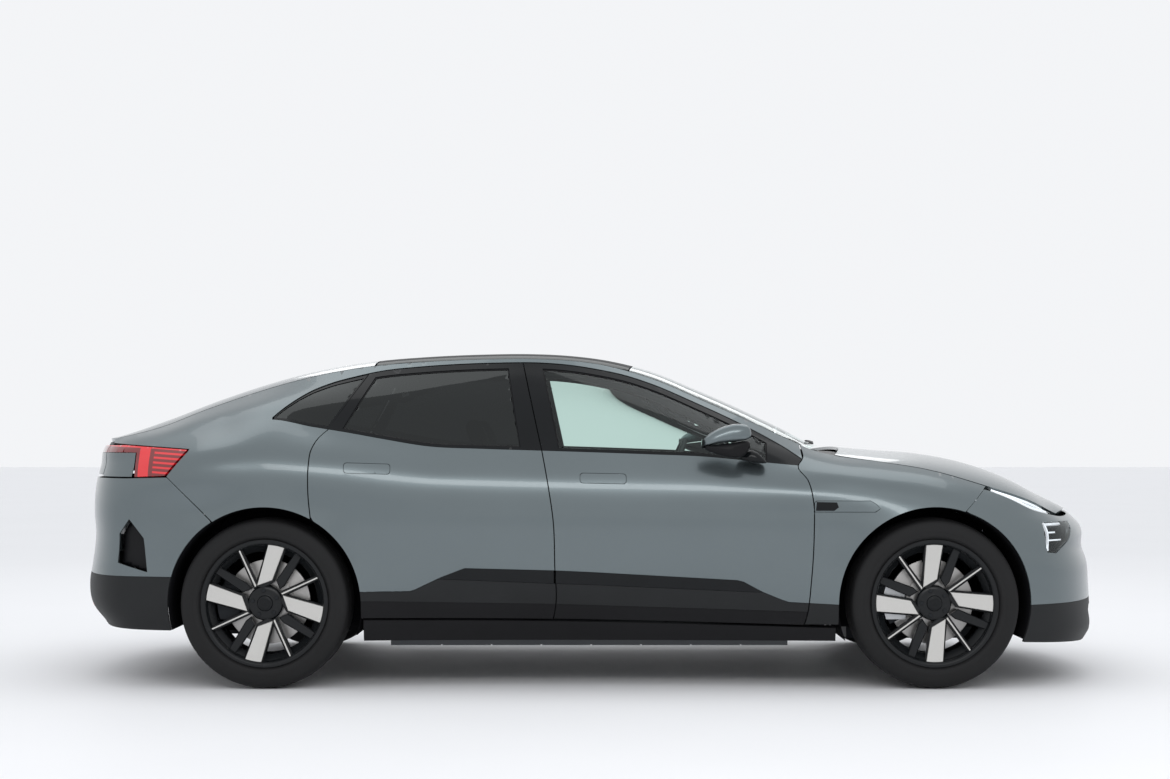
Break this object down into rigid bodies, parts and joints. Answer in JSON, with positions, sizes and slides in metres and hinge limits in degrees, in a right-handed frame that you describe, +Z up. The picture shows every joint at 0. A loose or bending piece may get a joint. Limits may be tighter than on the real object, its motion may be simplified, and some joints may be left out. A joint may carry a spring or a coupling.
{
  "type": "coupe sport utility vehicle",
  "caption": "Coupe sport utility vehicle with a fastback glass roof, opening doors, bonnet and tailgate, steering front wheels and pinwheel alloys",
  "frame": {"origin": "centre of the bounding box's bottom face, on the road under the middle of the car", "axes": "+X towards the front of the car, +Y towards its left side, +Z up from the road"},
  "size_m": [4.8369, 2.114, 1.5341],
  "materials": {
    "body_paint": "metallic clear-coat paint, grey with a cool green cast",
    "inner_metal": "painted pressed steel, semi-matt",
    "battery_case": "extruded and cast alloy, raw",
    "bright_metal": "machined steel and alloy",
    "black_trim": "grained and glossy black plastic",
    "glazing_clear": "clear safety glass with a faint green tint",
    "glazing_dark": "dark privacy glass",
    "lamp_clear": "clear lamp cover",
    "lamp_red": "red lamp cover",
    "cast_black": "dark coated castings and pressings",
    "cabin_grey": "soft grained plastic",
    "seat_cover": "stitched covers over foam",
    "wheel_alloy": "black coated alloy with machined bright faces",
    "tyre_rubber": "black tyre rubber"
  },
  "bodies": {
    "body": {"body_side_left": "body_paint", "body_side_right": "body_paint", "floor": "inner_metal", "battery_pack": "battery_case", "front_frame": "cast_black", "door_hinges": "bright_metal", "front_wing_left": "body_paint", "front_wing_right": "body_paint", "front_bumper": "body_paint", "rear_bumper": "body_paint", "lower_trim": "black_trim", "arch_liners": "black_trim", "cowl": "black_trim", "windscreen": "glazing_clear", "roof_glass": "glazing_dark", "quarter_windows": "glazing_dark", "headlamps": "lamp_clear", "tail_lamps": "lamp_red", "front_suspension": "cast_black", "rear_suspension": "cast_black", "drive_units": "bright_metal", "dashboard": "cabin_grey", "front_seats": "seat_cover", "rear_seat": "seat_cover"},
    "bonnet": {"bonnet": "body_paint"},
    "tailgate": {"tailgate": "body_paint", "light_bar": "lamp_red"},
    "front_door_left": {"door_front_left": "body_paint", "window_front_left": "glazing_clear", "mirror_left": "body_paint"},
    "rear_door_left": {"door_rear_left": "body_paint", "window_rear_left": "glazing_dark"},
    "front_door_right": {"door_front_right": "body_paint", "window_front_right": "glazing_clear", "mirror_right": "body_paint"},
    "rear_door_right": {"door_rear_right": "body_paint", "window_rear_right": "glazing_dark"},
    "steering_wheel": {"steering_wheel": "cabin_grey"},
    "steer_knuckle_left": {"knuckle_left": "bright_metal"},
    "steer_knuckle_right": {"knuckle_right": "bright_metal"},
    "wheel_front_left": {"rim_front_left": "wheel_alloy", "tyre_front_left": "tyre_rubber"},
    "wheel_front_right": {"rim_front_right": "wheel_alloy", "tyre_front_right": "tyre_rubber"},
    "wheel_rear_left": {"rim_rear_left": "wheel_alloy", "tyre_rear_left": "tyre_rubber"},
    "wheel_rear_right": {"rim_rear_right": "wheel_alloy", "tyre_rear_right": "tyre_rubber"}
  },
  "joints": [
    {"name": "bonnet_hinge", "type": "hinge", "parent": "body", "child": "bonnet", "pos_m": [1.062, 0, 0.975], "axis": [0, -1, 0], "range_deg": [0, 45]},
    {"name": "tailgate_hinge", "type": "hinge", "parent": "body", "child": "tailgate", "pos_m": [-0.91, 0, 1.441], "axis": [0, 1, 0], "range_deg": [0, 62]},
    {"name": "front_door_hinge_left", "type": "hinge", "parent": "body", "child": "front_door_left", "pos_m": [0.9485, 0.97187, 0.745], "axis": [0, 0, -1], "range_deg": [0, 62]},
    {"name": "rear_door_hinge_left", "type": "hinge", "parent": "body", "child": "rear_door_left", "pos_m": [-0.2085, 0.97448, 0.745], "axis": [0, 0, -1], "range_deg": [0, 62]},
    {"name": "front_door_hinge_right", "type": "hinge", "parent": "body", "child": "front_door_right", "pos_m": [0.9485, -0.97187, 0.745], "axis": [0, 0, 1], "range_deg": [0, 62]},
    {"name": "rear_door_hinge_right", "type": "hinge", "parent": "body", "child": "rear_door_right", "pos_m": [-0.2085, -0.97448, 0.745], "axis": [0, 0, 1], "range_deg": [0, 62]},
    {"name": "steering_column", "type": "hinge", "parent": "body", "child": "steering_wheel", "pos_m": [0.64, 0.37, 0.85], "axis": [-0.9272, 0, 0.3746], "range_deg": [-500, 500]},
    {"name": "steer_left", "type": "hinge", "parent": "body", "child": "steer_knuckle_left", "pos_m": [1.531, 0.78, 0.3815], "axis": [0, 0, 1], "range_deg": [-35, 35]},
    {"name": "steer_right", "type": "hinge", "parent": "body", "child": "steer_knuckle_right", "pos_m": [1.531, -0.78, 0.3815], "axis": [0, 0, 1], "range_deg": [-35, 35]},
    {"name": "front_left_wheel_spin", "type": "hinge", "parent": "steer_knuckle_left", "child": "wheel_front_left", "pos_m": [1.531, 0.855, 0.3815], "axis": [0, 1, 0], "continuous": true},
    {"name": "front_right_wheel_spin", "type": "hinge", "parent": "steer_knuckle_right", "child": "wheel_front_right", "pos_m": [1.531, -0.855, 0.3815], "axis": [0, 1, 0], "continuous": true},
    {"name": "rear_left_wheel_spin", "type": "hinge", "parent": "body", "child": "wheel_rear_left", "pos_m": [-1.468, 0.855, 0.3815], "axis": [0, 1, 0], "continuous": true},
    {"name": "rear_right_wheel_spin", "type": "hinge", "parent": "body", "child": "wheel_rear_right", "pos_m": [-1.468, -0.855, 0.3815], "axis": [0, 1, 0], "continuous": true}
  ],
  "couplings": [
    {"joint": "steer_right", "follows": "steer_left", "ratio": 1},
    {"joint": "steering_column", "follows": "steer_left", "ratio": 14}
  ]
}
